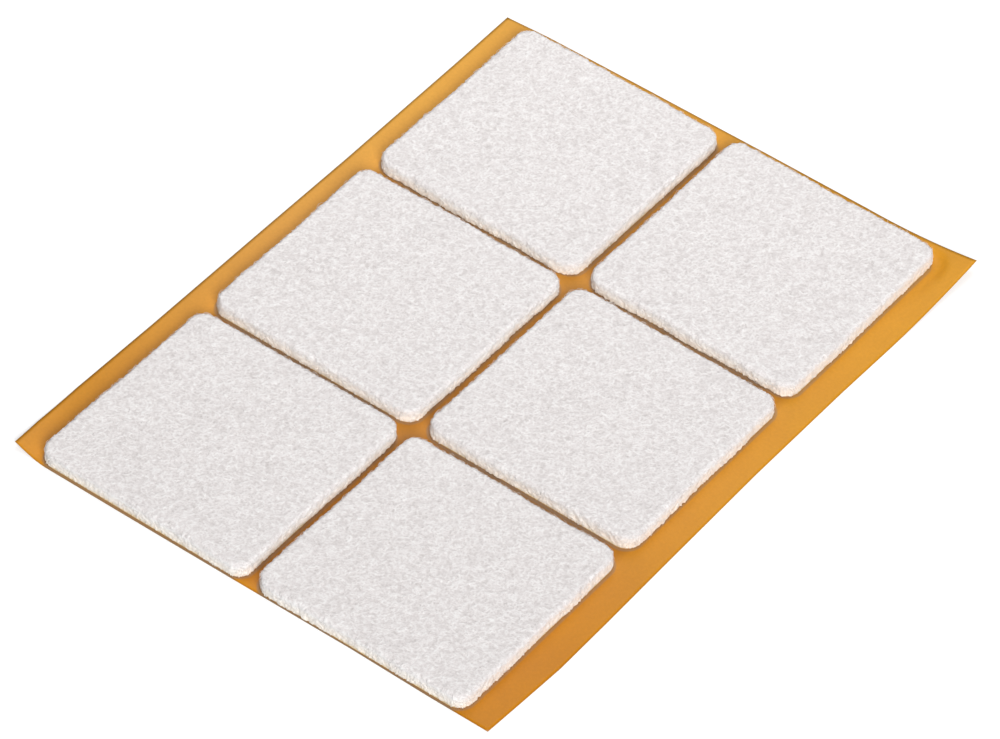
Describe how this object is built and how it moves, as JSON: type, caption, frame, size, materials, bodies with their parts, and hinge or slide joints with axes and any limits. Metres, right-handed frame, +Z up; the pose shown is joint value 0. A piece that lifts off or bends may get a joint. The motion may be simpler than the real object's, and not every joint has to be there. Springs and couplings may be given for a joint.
{
  "type": "self-adhesive felt furniture pad sheet",
  "caption": "Flat sheet of square self-adhesive felt furniture glides with rounded corners on an amber release liner; each pad peels off to stick under a furniture foot.",
  "frame": {"origin": "centre of the liner's underside", "axes": "+X across the columns of pads, +Y along the columns from the front row to the back row, +Z up through the felt"},
  "size_m": [0.0924, 0.1282, 0.0027],
  "materials": {
    "liner_paper": "satin",
    "felt": "matte",
    "adhesive": "satin"
  },
  "bodies": {
    "liner": {"release_liner": "liner_paper"},
    "pad_1": {"felt_pad_1": "felt", "adhesive_film_1": "adhesive"},
    "pad_2": {"felt_pad_2": "felt", "adhesive_film_2": "adhesive"},
    "pad_3": {"felt_pad_3": "felt", "adhesive_film_3": "adhesive"},
    "pad_4": {"felt_pad_4": "felt", "adhesive_film_4": "adhesive"},
    "pad_5": {"felt_pad_5": "felt", "adhesive_film_5": "adhesive"},
    "pad_6": {"felt_pad_6": "felt", "adhesive_film_6": "adhesive"}
  },
  "joints": [
    {"name": "pad_1_lift", "type": "slide", "parent": "liner", "child": "pad_1", "axis": [0, 0, 1], "range_m": [0, 0.03]},
    {"name": "pad_2_lift", "type": "slide", "parent": "liner", "child": "pad_2", "axis": [0, 0, 1], "range_m": [0, 0.03]},
    {"name": "pad_3_lift", "type": "slide", "parent": "liner", "child": "pad_3", "axis": [0, 0, 1], "range_m": [0, 0.03]},
    {"name": "pad_4_lift", "type": "slide", "parent": "liner", "child": "pad_4", "axis": [0, 0, 1], "range_m": [0, 0.03]},
    {"name": "pad_5_lift", "type": "slide", "parent": "liner", "child": "pad_5", "axis": [0, 0, 1], "range_m": [0, 0.03]},
    {"name": "pad_6_lift", "type": "slide", "parent": "liner", "child": "pad_6", "axis": [0, 0, 1], "range_m": [0, 0.03]}
  ]
}
